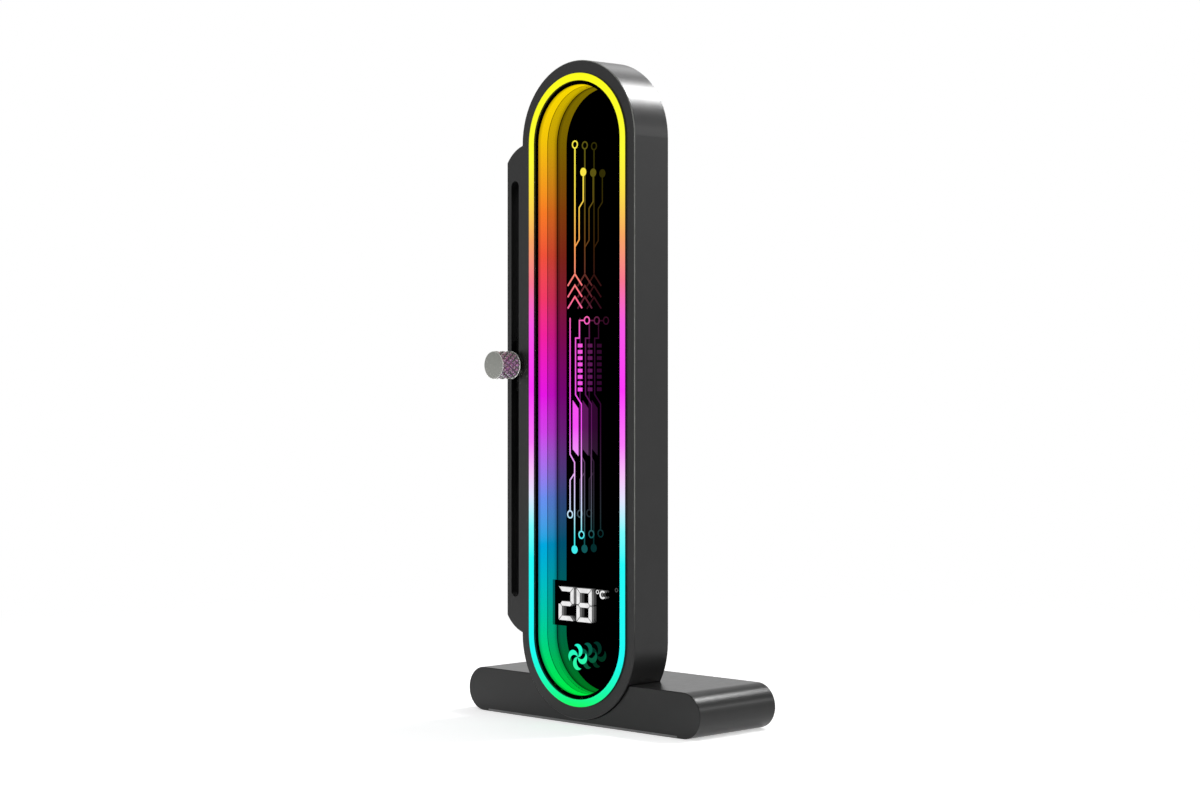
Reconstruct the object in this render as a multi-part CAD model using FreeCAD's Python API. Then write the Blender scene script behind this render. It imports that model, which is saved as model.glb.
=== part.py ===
"""Graphics card support bracket, in millimetres.

A tall column with a lit mirror tunnel in its front stands in a notch of a heavy pill-shaped base.
A rail on the column's side guides a support arm, which a knurled thumbscrew clamps at any height.
The origin is the centre of the base's underside, +X is to the right, +Y to the back and +Z up.
Depths are counted from the column's front face towards the back.
"""
import FreeCAD
import Part

import math
import os

from FreeCAD import Vector

BACKWARD = Vector(0, 1, 0)
FORWARD = Vector(0, -1, 0)
UPWARD = Vector(0, 0, 1)
RIGHTWARD = Vector(1, 0, 0)
SLACK = 1.0  # how far a cutting solid runs past the face that it opens
SPARE = 0.05  # how much less than half a bar's width its round corners are
TINY = 1e-4  # below this, two coordinates count as the same

# Base
base_width = 109.0
base_depth = 37.0
base_height = 15.0
base_edge = 0.25
pad_width = 89.0
pad_thick = 0.8
magnet_width = 18.0
magnet_depth = 10.0
magnet_thick = 2.5
magnet_spread_x = 68.0
magnet_spread_y = 19.0
magnet_gap = 0.1

# Column housing
column_width = 53.2
column_height = 220.0
column_depth = 16.2
column_lift = 1.64
column_proud = 1.0
notch_gap = 0.2
wall = 2.0
flange_depth = 2.6
rim_width = 3.8
front_edge = 0.25

# Lit window in the front
window_inset = 0.45
halo_gap = 0.05
halo_width = 2.45
halo_proud = 0.5
lens_gap = 0.05
lens_thick = 0.7
mask_thick = 0.2
tunnel_wall = 1.2
tunnel_depth = 4.55
seal_thick = 0.12
print_depth = 2.15
print_thick = 0.1
plate_thick = 0.6
plate_seat = 0.5
plate_gap = 0.05
collar_thick = 0.8
mirror_thick = 1.0

# Lighting strip
strip_thick = 0.3
strip_gap = 0.05
led_count = 40
led_length = 3.2
led_width = 1.8
led_height = 1.2

# Tray behind the mirror, display and control board
tray_thick = 1.2
tray_gap = 0.15
window_width = 28.0
window_height = 15.3
window_x = -2.5
window_z = 39.45
display_gap = 0.15
display_recess = 1.15
board_width = 36.0
board_height = 90.0
board_thick = 1.2
board_bottom = 15.0
board_corner = 1.5
board_hole_inset = 3.5
post_height = 1.65
post_r = 2.2
rib_reach = 14.0
rib_heights = (120.0, 152.5, 185.0)

# Socket, chips and sensor on the board
socket_width = 9.4
socket_height = 3.6
socket_wall = 0.5
socket_floor = 0.8
socket_above_edge = 7.0
tongue_width = 6.4
tongue_thick = 0.7
tongue_length = 4.2
opening_gap = 0.2
chip_thick = 0.9
controller_side = 7.0
controller_z = 64.0
driver_side = 4.0
driver_x = -10.0
driver_z = 50.0
capacitor_r = 2.2
capacitor_height = 3.4
capacitor_places = (9.0, 14.0)
capacitor_z = 40.0
sensor_r = 1.2
sensor_length = 3.0

# Rear cover
cover_thick = 1.5
cover_ledge = 0.8
cover_gap = 0.1
boss_r = 2.1
boss_inset = 1.9
boss_start = 7.2
boss_spread = 150.0
vent_count = 5
vent_pitch = 3.2
vent_width = 1.2
vent_height = 14.0

# Screws: the shank's radius, the head's radius and height, and the length with the head
thread_gap = 0.05
small_shank_r = 0.8
small_head_r = 1.7
small_head = 0.9
small_length = 6.0
board_screw_length = 3.2
base_shank_r = 1.5
base_head_r = 2.75
base_head = 3.0
base_screw_length = 19.0
base_screw_x = 10.0
base_screw_z = 9.0
base_screw_bridge = 10.0
base_boss_r = 2.7
base_boss_length = 6.0
key_r = 1.45
key_depth = 1.5
rail_shank_r = 1.25
rail_head_r = 2.2
rail_head = 1.3
rail_screw_depth = 10.5
rail_screw_heights = (-55.0, 0.0, 55.0)

# Side rail
rail_width = 8.5
rail_setback = 1.0
rail_shoulder = 5.8
rail_bulge = 1.0
rail_outer_wall = 1.4
rail_inner_wall = 2.0
rail_web = 2.4
rail_end = 5.3
rail_edge = 0.2
channel_corner = 1.5
slot_width = 3.7
slot_length = 142.4

# Support arm
arm_z = 119.84
slide_gap = 0.1
block_height = 18.0
block_short = 0.5
arm_clearance = 0.6
paddle_width = 20.0
paddle_length = 28.0
paddle_thick = 5.0
paddle_corner = 6.0
paddle_edge = 0.6
gusset_length = 22.0
gusset_thick = 2.4
arm_pad_thick = 2.5
arm_pad_seat = 1.0
arm_pad_inset = 2.0
arm_pad_edge = 0.5
card_rest_above_screw = 2.96

# Thumbscrew
knob_r = 4.8
knob_length = 8.35
knob_edge = 0.25
neck_r = 3.2
neck_length = 0.85
washer_r = 4.0
washer_thick = 0.9
thumb_shank_r = 1.5
thread_length = 9.0
thread_depth = 10.0

# Printed circuit motif on the plate: its places are x, and z from the column's middle
print_shift = 0.5
trace_wide = 0.55
trace_thin = 0.45
main_line = ((-3.96, 80.9), (-3.96, 39.2))
joining_line = ((0.0, 71.6), (0.0, 63.1), (-1.95, 60.9), (-1.95, 50.2), (-3.9, 47.9))
left_line = ((-6.25, 24.1), (-6.25, -21.7), (-4.1, -24.4), (-4.1, -52.4))
left_branch = ((-4.1, -28.0), (-6.25, -30.4), (-6.25, -40.7))
right_link = ((0.5, 23.2), (-1.82, 23.2), (-1.82, 17.3), (-3.63, 17.3), (-3.63, -1.7))
right_line = ((-0.85, -4.8), (-0.85, -47.3))
slanted_bar = ((-4.96, -3.6), (-2.3, -6.3), (-2.3, -22.2), (-4.96, -20.0))
eyelet_places = ((-3.96, 82.2), (1.72, 23.2), (-6.25, -41.9), (-0.85, -48.5))
ring_r = 1.4
ring_line = 0.45
dot_places = ((0.0, 72.8), (-4.1, -53.6))
dot_r = 1.4
chevron_count = 3
chevron_top = 38.8
chevron_pitch = 3.8
chevron_half = 3.4
chevron_tall = 3.9
square_count = 8
square_left = -2.52
square_top = 14.8
square_pitch = 2.1
square_wide = 2.1
square_tall = 1.25
sign_place = (-2.6, -89.5)
sign_r = 4.4
sign_blades = 4

# What follows from the sizes above
column_r = column_width / 2
low_z = column_lift + column_r
high_z = column_lift + column_height - column_r
mid_z = (low_z + high_z) / 2
base_front = -base_depth / 2
front_y = base_front - column_proud
back_y = front_y + column_depth
inner_r = column_r - wall
opening_r = column_r - rim_width
halo_outer_r = opening_r - halo_gap
halo_inner_r = halo_outer_r - halo_width
lens_r = halo_inner_r - lens_gap
stack_r = lens_r - lens_gap
tunnel_r = stack_r - tunnel_wall
lens_back = lens_thick - halo_proud
tunnel_front = lens_back + mask_thick
print_at = lens_back + print_depth
plate_front = print_at - plate_thick
mirror_front = lens_back + tunnel_depth
tunnel_back = mirror_front - seal_thick
tray_front = mirror_front + mirror_thick
tray_back = tray_front + tray_thick
collar_back = flange_depth + collar_thick
board_front = tray_back + post_height
board_back = board_front + board_thick
cover_front = column_depth - cover_thick
boss_x = inner_r - boss_inset
boss_heights = (mid_z - boss_spread / 2, mid_z + boss_spread / 2)
board_top = board_bottom + board_height
socket_z = board_bottom + socket_above_edge
sensor_z = board_top - 2 * board_hole_inset
rail_outer_x = -column_r - rail_width
rail_front = front_y + rail_setback
channel_left = rail_outer_x + rail_outer_wall
channel_right = -column_r - rail_inner_wall
slot_x = (channel_left + channel_right) / 2
web_back = rail_front + rail_web
block_width = channel_right - channel_left - 2 * slide_gap
paddle_front = back_y + arm_clearance
paddle_top = arm_z + card_rest_above_screw - arm_pad_thick + arm_pad_seat


def at(depth):
    """The y of a depth behind the column's front face."""
    return front_y + depth


def block(x_span, y_span, z_span):
    """A box given by its low and high coordinate along each axis."""
    low = Vector(x_span[0], y_span[0], z_span[0])
    return Part.makeBox(x_span[1] - low.x, y_span[1] - low.y, z_span[1] - low.z, low)


def rod(radius, start, direction, length):
    return Part.makeCylinder(radius, length, start, direction)


def stadium(radius, start, end, inset=0.0):
    """A bar with half-round ends, upright, between two depths; the inset brings its ends nearer."""
    low = low_z + inset
    high = high_z - inset
    bottom = rod(radius, Vector(0, at(start), low), BACKWARD, end - start)
    top = rod(radius, Vector(0, at(start), high), BACKWARD, end - start)
    middle = block((-radius, radius), (at(start), at(end)), (low, high))
    return middle.fuse([bottom, top]).removeSplitter()


def ring(outer, inner, start, end):
    """An upright stadium frame between two depths."""
    return stadium(outer, start, end).cut(stadium(inner, start - SLACK, end + SLACK))


def window(radius, start, end):
    """A bar with half-round ends in the place of the column's lit window."""
    return stadium(radius, start, end, window_inset)


def window_ring(outer, inner, start, end):
    return window(outer, start, end).cut(window(inner, start - SLACK, end + SLACK))


def rounded_bar(width, length, corner, y_span, centre):
    """An upright plate with four round corners, of any width and height."""
    x, z = centre
    flat = block((x - width / 2, x + width / 2), y_span, (z - length / 2, z + length / 2))
    return flat.makeFillet(corner, edges_along(flat, BACKWARD))


def edges_in_plane(solid, y):
    """The solid's edges that lie in the plane of this y."""
    flat = [edge for edge in solid.Edges if edge.BoundBox.YLength < TINY]
    return [edge for edge in flat if abs(edge.BoundBox.YMin - y) < TINY]


def edges_along(solid, axis):
    """The solid's straight edges that run along one axis."""
    return [edge for edge in solid.Edges if abs(edge.tangentAt(edge.FirstParameter).dot(axis)) > 1 - TINY]


def chamfer_at(solid, y, size):
    """Break every edge that lies in the plane of this y."""
    return solid.makeChamfer(size, edges_in_plane(solid, y))


def countersunk(shank_r, head_r, head, length, gap=0.0, over=0.0):
    """A flat-headed screw, its head's face at the origin and its shank along -Y; with a gap, its hole."""
    shank = rod(shank_r + gap, Vector(0, 0, 0), FORWARD, length + over)
    cone = Part.makeCone(head_r + gap, shank_r + gap, head, Vector(0, 0, 0), FORWARD)
    return shank.fuse(cone).removeSplitter()


def moved(shape, x, y, z):
    copy = shape.copy()
    copy.translate(Vector(x, y, z))
    return copy


def group(solids):
    return Part.makeCompound(solids)


def magnet_places():
    return [(x * magnet_spread_x / 2, y * magnet_spread_y / 2) for x in (-1, 1) for y in (-1, 1)]


def magnet(x, y, gap=0.0):
    """A bar magnet on the base's plate; with a gap, its pocket."""
    half_x = magnet_width / 2 + gap
    half_y = magnet_depth / 2 + gap
    z_span = (pad_thick, pad_thick + magnet_thick + gap)
    return block((x - half_x, x + half_x), (y - half_y, y + half_y), z_span)


def base_block():
    """Pill-shaped bar with a notch that takes the column's round foot."""
    end_r = base_height / 2
    ends = base_width / 2 - end_r
    bar = block((-ends, ends), (base_front, -base_front), (0, base_height))
    round_ends = [rod(end_r, Vector(x, base_front, end_r), BACKWARD, base_depth) for x in (-ends, ends)]
    bar = bar.fuse(round_ends).removeSplitter()
    bar = chamfer_at(chamfer_at(bar, base_front, base_edge), -base_front, base_edge)
    bar = bar.cut(stadium(column_r + notch_gap, -SLACK, column_depth))
    half = pad_width / 2
    bar = bar.cut(block((-half, half), (base_front - SLACK, SLACK - base_front), (-SLACK, pad_thick)))
    for x, y in magnet_places():
        bar = bar.cut(magnet(x, y, magnet_gap))
    for x in (-base_screw_x, base_screw_x):
        foot = Vector(x, back_y - SLACK, base_screw_z)
        bar = bar.cut(rod(base_shank_r + 2 * magnet_gap, foot, BACKWARD, base_depth))
        seat = Vector(x, back_y + base_screw_bridge, base_screw_z)
        bar = bar.cut(rod(base_head_r + 2 * magnet_gap, seat, BACKWARD, base_depth))
    return bar


def base_pad():
    """Thin plate let into the underside and open to the front."""
    half = pad_width / 2
    return block((-half, half), (base_front, -base_front), (0, pad_thick))


def base_magnets():
    return group([magnet(x, y) for x, y in magnet_places()])


def base_screws():
    """Cap screws from the back of the base into the column's rear cover."""
    screws = []
    for x in (-base_screw_x, base_screw_x):
        seat = Vector(x, back_y + base_screw_bridge, base_screw_z)
        head = rod(base_head_r, seat, BACKWARD, base_head)
        shank = rod(base_shank_r, seat, FORWARD, base_screw_length - base_head)
        key = Part.Face(Part.makePolygon([hexagon_point(seat, k) for k in range(7)]))
        screws.append(head.fuse(shank).cut(key.extrude(BACKWARD * (key_depth + SLACK))).removeSplitter())
    return group(screws)


def hexagon_point(seat, k):
    """Corner k of the hexagonal key hole in a cap screw's head."""
    angle = k * math.pi / 3
    y = seat.y + base_head - key_depth
    return Vector(seat.x + key_r * math.cos(angle), y, seat.z + key_r * math.sin(angle))


def column_housing():
    """Shell with a front flange, open at the back, with bosses for the cover's screws."""
    shell = stadium(column_r, 0, column_depth)
    shell = chamfer_at(chamfer_at(shell, front_y, front_edge), back_y, front_edge)
    shell = shell.cut(window(opening_r, -SLACK, flange_depth + SLACK))
    shell = shell.cut(stadium(inner_r, flange_depth, column_depth))
    shell = shell.cut(stadium(inner_r + cover_ledge, cover_front, column_depth + SLACK))
    for z in boss_heights:
        for x in (-boss_x, boss_x):
            boss = rod(boss_r, Vector(x, at(boss_start), z), BACKWARD, cover_front - boss_start)
            shell = shell.fuse(boss)
    for z in boss_heights:
        for x in (-boss_x, boss_x):
            hole = rod(small_shank_r + thread_gap, Vector(x, at(cover_front), z), FORWARD, small_length)
            shell = shell.cut(hole)
    for step in rail_screw_heights:
        start = Vector(-column_r - SLACK, at(rail_screw_depth), mid_z + step)
        shell = shell.cut(rod(rail_shank_r + thread_gap, start, RIGHTWARD, wall + 2 * SLACK))
    return shell.removeSplitter()


def pass_bosses(solid):
    """Notch a frame where it slides past the housing's bosses."""
    for z in boss_heights:
        for x in (-boss_x, boss_x):
            solid = solid.cut(rod(boss_r + tray_gap, Vector(x, at(0), z), BACKWARD, column_depth))
    return solid


def halo_ring():
    return window_ring(halo_outer_r, halo_inner_r, -halo_proud, flange_depth)


def front_lens():
    return window(lens_r, -halo_proud, lens_back)


def lens_mask():
    """Black adhesive frame between the lens and the light wall."""
    return window_ring(stack_r, tunnel_r, lens_back, tunnel_front)


def light_wall_front():
    """Front half of the light wall, with a rebate at its back for the printed plate."""
    frame = window_ring(stack_r, tunnel_r, tunnel_front, print_at)
    return frame.cut(window(tunnel_r + plate_seat, plate_front, print_at + SLACK))


def pattern_plate():
    return window(tunnel_r + plate_seat - plate_gap, plate_front, print_at)


def light_wall_rear():
    """Rear half of the light wall, with a collar that seats behind the housing's flange."""
    collar = pass_bosses(stadium(inner_r - tray_gap, flange_depth, collar_back))
    frame = collar.fuse(window(stack_r, print_at, tunnel_back))
    return frame.cut(window(tunnel_r, print_at - SLACK, tunnel_back + SLACK)).removeSplitter()


def mirror_seal():
    return window_ring(stack_r, tunnel_r, tunnel_back, mirror_front)


def display_window(start, end, gap=0.0):
    """The display's rectangle between two depths."""
    half = window_width / 2 - gap
    tall = window_height / 2 - gap
    x_span = (window_x - half, window_x + half)
    return block(x_span, (at(start), at(end)), (window_z - tall, window_z + tall))


def back_mirror():
    plate = window(stack_r, mirror_front, tray_front)
    return plate.cut(display_window(mirror_front - SLACK, tray_front + SLACK))


def board_posts():
    """Places of the four posts under the board's corners."""
    x = board_width / 2 - board_hole_inset
    heights = (board_bottom + board_hole_inset, board_top - board_hole_inset)
    return [(side * x, z) for side in (-1, 1) for z in heights]


def board_holes():
    """Places of the board's two screws, on opposite corners."""
    return [(x, z) for x, z in board_posts() if (x < 0) == (z > sensor_z - SLACK)]


def mid_tray():
    """Plate that holds the mirror, with posts for the board and ribs that reach the rear cover."""
    plate = stadium(inner_r - tray_gap, tray_front, tray_back)
    for x, z in board_posts():
        plate = plate.fuse(rod(post_r, Vector(x, at(tray_front), z), BACKWARD, board_front - tray_front))
    for z in rib_heights:
        span = (z - tray_thick / 2, z + tray_thick / 2)
        plate = plate.fuse(block((-rib_reach, rib_reach), (at(tray_front), at(cover_front)), span))
    for x, z in board_holes():
        start = Vector(x, at(board_front), z)
        plate = plate.cut(rod(small_shank_r + thread_gap, start, FORWARD, column_depth))
    plate = plate.cut(display_window(tray_front - SLACK, tray_back + SLACK))
    return pass_bosses(plate).removeSplitter()


def lighting_strip():
    """Flexible circuit round the inside of the housing, between the collar and the tray."""
    start = collar_back + strip_gap
    return ring(inner_r, inner_r - strip_thick, start, tray_front - strip_gap)


def around(radius, distance):
    """Place and outward angle of a point that runs up the right side and round the stadium."""
    straight = high_z - low_z
    arc = math.pi * radius
    if distance < straight:
        return radius, low_z + distance, 0.0
    distance -= straight
    if distance < arc:
        angle = distance / radius
        return radius * math.cos(angle), high_z + radius * math.sin(angle), angle
    distance -= arc
    if distance < straight:
        return -radius, high_z - distance, math.pi
    angle = math.pi + (distance - straight) / radius
    return radius * math.cos(angle), low_z + radius * math.sin(angle), angle


def led_chips():
    """Side-firing lamps spaced evenly along the strip, their flat backs clear of its round ends."""
    radius = math.sqrt((inner_r - strip_thick) ** 2 - (led_length / 2) ** 2)
    pitch = (2 * (high_z - low_z) + 2 * math.pi * radius) / led_count
    middle = at((collar_back + tray_front) / 2)
    chips = []
    for k in range(led_count):
        x, z, angle = around(radius, (k + 0.5) * pitch)
        chip = block((-led_height, 0), (-led_width / 2, led_width / 2), (-led_length / 2, led_length / 2))
        chip.rotate(Vector(0, 0, 0), FORWARD, math.degrees(angle))
        chips.append(moved(chip, x, middle, z))
    return group(chips)


def display_module():
    """Black digit display that stands on the board and looks out through the mirror's window."""
    return display_window(mirror_front + display_recess, board_front, display_gap)


def control_board():
    y_span = (at(board_front), at(board_back))
    centre = (0, (board_bottom + board_top) / 2)
    board = rounded_bar(board_width, board_height, board_corner, y_span, centre)
    for x, z in board_holes():
        start = Vector(x, at(board_front), z)
        board = board.cut(rod(small_shank_r + 2 * thread_gap, start, BACKWARD, board_thick))
    return board


def board_parts():
    """Controller, light driver and two capacitors on the back of the board."""
    y = at(board_back)
    chips = []
    for side, x, z in ((controller_side, 0.0, controller_z), (driver_side, driver_x, driver_z)):
        half = side / 2
        chips.append(block((x - half, x + half), (y, y + chip_thick), (z - half, z + half)))
    for x in capacitor_places:
        chips.append(rod(capacitor_r, Vector(x, y, capacitor_z), BACKWARD, capacitor_height))
    return group(chips)


def temperature_sensor():
    """Thermistor that lies on the board behind the cover's vents."""
    start = Vector(-sensor_length / 2, at(board_back) + sensor_r, sensor_z)
    return rod(sensor_r, start, RIGHTWARD, sensor_length)


def power_socket():
    """Flat socket that faces the back, with a contact tongue."""
    y_span = (at(board_back), at(column_depth))
    shell = rounded_bar(socket_width, socket_height, socket_height / 2 - SPARE, y_span, (0, socket_z))
    inner = (socket_width - 2 * socket_wall, socket_height - 2 * socket_wall)
    cavity_span = (y_span[0] + socket_floor, y_span[1] + SLACK)
    cavity = rounded_bar(*inner, inner[1] / 2 - SPARE, cavity_span, (0, socket_z))
    tongue_x = (-tongue_width / 2, tongue_width / 2)
    tongue_z = (socket_z - tongue_thick / 2, socket_z + tongue_thick / 2)
    tongue = block(tongue_x, (y_span[0], cavity_span[0] + tongue_length), tongue_z)
    return shell.cut(cavity).fuse(tongue).removeSplitter()


def small_screw(length):
    return countersunk(small_shank_r, small_head_r, small_head, length)


def board_screws():
    y = at(board_back) + small_head
    return group([moved(small_screw(board_screw_length), x, y, z) for x, z in board_holes()])


def rear_cover():
    """Plate let into the housing's back, with threaded bosses for the base's screws."""
    cover = stadium(inner_r + cover_ledge - cover_gap, cover_front, column_depth)
    gap = 2 * thread_gap
    for z in boss_heights:
        for x in (-boss_x, boss_x):
            hole = countersunk(small_shank_r, small_head_r, small_head, cover_thick, gap, SLACK)
            cover = cover.cut(moved(hole, x, at(column_depth), z))
    for x in (-base_screw_x, base_screw_x):
        boss = rod(base_boss_r, Vector(x, at(cover_front), base_screw_z), FORWARD, base_boss_length)
        bore = rod(base_shank_r + thread_gap, Vector(x, back_y, base_screw_z), FORWARD, column_depth)
        cover = cover.fuse(boss).cut(bore)
    y_span = (at(cover_front) - SLACK, back_y + SLACK)
    size = (socket_width + 2 * opening_gap, socket_height + 2 * opening_gap)
    cover = cover.cut(rounded_bar(*size, size[1] / 2 - SPARE, y_span, (0, socket_z)))
    vent_span = (sensor_z - vent_height / 2, sensor_z + vent_height / 2)
    for k in range(vent_count):
        left = (k - (vent_count - 1) / 2) * vent_pitch - vent_width / 2
        cover = cover.cut(block((left, left + vent_width), y_span, vent_span))
    return cover.removeSplitter()


def cover_screws():
    places = [(x, z) for z in boss_heights for x in (-boss_x, boss_x)]
    return group([moved(small_screw(small_length), x, back_y, z) for x, z in places])


def rail_outline():
    """The rail's front: upright sides, and bulging shoulders that slant to the column."""
    inner = [Vector(-column_r, rail_front, z) for z in (low_z, high_z)]
    outer = [Vector(rail_outer_x, rail_front, z) for z in (low_z + rail_shoulder, high_z - rail_shoulder)]
    sides = [Part.makeLine(inner[0], inner[1]), Part.makeLine(outer[0], outer[1])]
    for k, way in ((0, -1), (1, 1)):
        out = Vector(-rail_shoulder, 0, way * rail_width).normalize()
        crown = (inner[k] + outer[k]) / 2 + out * rail_bulge
        sides.append(Part.Arc(inner[k], crown, outer[k]).toShape())
    return Part.Wire(Part.__sortEdges__(sides))


def side_rail():
    """Channel along the column's side, with a slot in its front web and an open back."""
    y_span = (rail_front, back_y)
    bar = Part.Face(rail_outline()).extrude(BACKWARD * (back_y - rail_front))
    front = [edge for edge in edges_in_plane(bar, rail_front) if edge.BoundBox.XMin < -column_r - TINY]
    bar = bar.makeChamfer(rail_edge, front)
    width = channel_right - channel_left
    length = high_z - low_z - 2 * rail_end
    channel = rounded_bar(width, length, channel_corner, (web_back, back_y + SLACK), (slot_x, mid_z))
    bar = bar.cut(channel)
    slot_span = (rail_front - SLACK, web_back + SLACK)
    half = slot_length / 2 - slot_width / 2
    y = slot_span[0]
    sides = (slot_x - slot_width / 2, slot_x + slot_width / 2)
    bar = bar.cut(block(sides, slot_span, (mid_z - half, mid_z + half)))
    for z in (mid_z - half, mid_z + half):
        bar = bar.cut(rod(slot_width / 2, Vector(slot_x, y, z), BACKWARD, rail_web + 2 * SLACK))
    for step in rail_screw_heights:
        start = Vector(-column_r, at(rail_screw_depth), mid_z + step)
        bar = bar.cut(rod(rail_shank_r + thread_gap, start, -RIGHTWARD, rail_inner_wall - thread_gap))
    return bar.removeSplitter()


def rail_screws():
    """Pan-headed screws from inside the column into the rail."""
    screws = []
    for step in rail_screw_heights:
        seat = Vector(-inner_r, at(rail_screw_depth), mid_z + step)
        head = rod(rail_head_r, seat, RIGHTWARD, rail_head)
        shank = rod(rail_shank_r, seat, -RIGHTWARD, wall + rail_inner_wall - 4 * thread_gap)
        screws.append(head.fuse(shank).removeSplitter())
    return group(screws)


def support_arm():
    """Block that slides in the rail, with a paddle behind the column and a gusset under it."""
    low = arm_z - block_height / 2
    slide_span = (web_back, back_y - block_short)
    slide = rounded_bar(block_width, block_height, channel_corner, slide_span, (slot_x, arm_z))
    neck_span = (slide_span[1] - SLACK, paddle_front + paddle_corner)
    neck_middle = (slot_x, (low + paddle_top) / 2)
    neck = rounded_bar(block_width, paddle_top - low, channel_corner, neck_span, neck_middle)
    x_span = (rail_outer_x, rail_outer_x + paddle_width)
    y_span = (paddle_front, paddle_front + paddle_length)
    paddle = block(x_span, y_span, (paddle_top - paddle_thick, paddle_top))
    far = [edge for edge in edges_along(paddle, UPWARD) if edge.BoundBox.YMin > paddle_front + TINY]
    paddle = paddle.makeFillet(paddle_corner, far)
    paddle = paddle.makeChamfer(paddle_edge, [edge for edge in paddle.Edges if edge.BoundBox.ZLength < TINY])
    under = paddle_top - paddle_thick
    end = paddle_front + gusset_length
    corners = [(paddle_front, under + SLACK), (paddle_front, low), (neck_span[1], low), (end, under)]
    corners.append((end, under + SLACK))
    outline = [Vector(slot_x - gusset_thick / 2, y, z) for y, z in corners + corners[:1]]
    gusset = Part.Face(Part.makePolygon(outline)).extrude(RIGHTWARD * gusset_thick)
    arm = slide.fuse([neck, paddle, gusset]).cut(arm_pad_shape(arm_pad_seat + SLACK, 0.0))
    bore = rod(thumb_shank_r + thread_gap, Vector(slot_x, web_back, arm_z), BACKWARD, thread_depth)
    return arm.cut(bore).removeSplitter()


def arm_pad_shape(height, edge):
    """The pad's outline raised from its seat, with a broken top edge if one is given."""
    floor = paddle_top - arm_pad_seat
    x_span = (rail_outer_x + arm_pad_inset, rail_outer_x + paddle_width - arm_pad_inset)
    y_span = (paddle_front + arm_pad_inset, paddle_front + paddle_length - arm_pad_inset)
    pad = block(x_span, y_span, (floor, floor + height))
    pad = pad.makeFillet(paddle_corner - arm_pad_inset, edges_along(pad, UPWARD))
    if edge:
        rims = [line for line in pad.Edges if line.BoundBox.ZMin > floor + height - TINY]
        pad = pad.makeChamfer(edge, rims)
    return pad


def arm_pad():
    return arm_pad_shape(arm_pad_thick, arm_pad_edge)


def thumbscrew():
    """Turned knob with a neck and a threaded shank."""
    washer_front = rail_front - washer_thick
    knob_back = washer_front - neck_length
    knob = rod(knob_r, Vector(slot_x, knob_back, arm_z), FORWARD, knob_length)
    knob = knob.makeChamfer(knob_edge, [edge for edge in knob.Edges if edge.BoundBox.YLength < TINY])
    neck = rod(neck_r, Vector(slot_x, knob_back, arm_z), BACKWARD, neck_length)
    length = web_back + thread_length - washer_front
    shank = rod(thumb_shank_r, Vector(slot_x, washer_front, arm_z), BACKWARD, length)
    shank = chamfer_at(shank, washer_front + length, thumb_shank_r / 4)
    return knob.fuse([neck, shank]).removeSplitter()


def thumbscrew_washer():
    centre = Vector(slot_x, rail_front, arm_z)
    hole = rod(thumb_shank_r + thread_gap, centre, FORWARD, washer_thick)
    return rod(washer_r, centre, FORWARD, washer_thick).cut(hole)


def on_plate(x, z):
    """The point of the plate's printed face at this place of the motif."""
    return Vector(x + print_shift, at(print_at), mid_z + z)


def strip(points, width):
    """A line of the print through its points, with mitred bends."""
    path = [on_plate(x, z) for x, z in points]
    steps = [(path[k + 1] - path[k]).normalize() for k in range(len(path) - 1)]
    left = []
    right = []
    for k, point in enumerate(path):
        out = steps[min(k, len(steps) - 1)]
        along = (steps[max(k - 1, 0)] + out).normalize()
        side = Vector(-along.z, 0, along.x) * (width / 2 / along.dot(out))
        left.append(point + side)
        right.insert(0, point - side)
    return Part.Face(Part.makePolygon(left + right + left[:1])).extrude(BACKWARD * print_thick)


def disc(radius, centre):
    return rod(radius, centre, BACKWARD, print_thick)


def eyelet(x, z):
    centre = on_plate(x, z)
    return disc(ring_r, centre).cut(disc(ring_r - ring_line, centre))


def traces():
    """The wide main line and the thin lines beside it."""
    thin = (joining_line, left_line, left_branch, right_link + right_line)
    return [strip(main_line, trace_wide)] + [strip(line, trace_thin) for line in thin]


def chevrons():
    """Arrowheads, one below the other, under the main line."""
    middle = main_line[0][0]
    shapes = []
    for k in range(chevron_count):
        top = chevron_top - chevron_pitch * k
        low = top - chevron_tall
        points = [(middle - chevron_half, low), (middle, top), (middle + chevron_half, low)]
        shapes.append(strip(points, trace_wide))
    return shapes


def squares():
    """A column of small squares."""
    shapes = []
    for k in range(square_count):
        height = square_top - square_pitch * k
        shapes.append(strip([(square_left, height), (square_left + square_wide, height)], square_tall))
    return shapes


def fan_sign():
    """A round fan of curved blades."""
    centre = on_plate(*sign_place)
    blade_r = sign_r / 2
    blades = []
    for k in range(sign_blades):
        angle = 2 * math.pi * k / sign_blades
        turned = angle + math.pi / sign_blades
        blade = disc(blade_r, centre + Vector(math.cos(angle), 0, math.sin(angle)) * blade_r)
        hollow = disc(blade_r, centre + Vector(math.cos(turned), 0, math.sin(turned)) * blade_r)
        blades.append(blade.cut(hollow))
    return blades


def circuit_print():
    """Light-catching motif: traces, eyelets, dots, chevrons, squares, a bar and a fan."""
    shapes = traces() + [eyelet(x, z) for x, z in eyelet_places]
    shapes += [disc(dot_r, on_plate(x, z)) for x, z in dot_places]
    bar = Part.Face(Part.makePolygon([on_plate(x, z) for x, z in slanted_bar + slanted_bar[:1]]))
    shapes.append(bar.extrude(BACKWARD * print_thick))
    shapes += chevrons() + squares() + fan_sign()
    solid = shapes[0].fuse(shapes[1:]).removeSplitter()
    return group(solid.Solids)


NODES = (
    base_block, base_pad, base_magnets, base_screws, column_housing, halo_ring, front_lens, lens_mask,
    light_wall_front, pattern_plate, circuit_print, light_wall_rear, mirror_seal, back_mirror, mid_tray,
    lighting_strip, led_chips, display_module, control_board, board_parts, temperature_sensor, power_socket,
    board_screws, rear_cover, cover_screws, side_rail, rail_screws, support_arm, arm_pad, thumbscrew,
    thumbscrew_washer,
)

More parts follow.
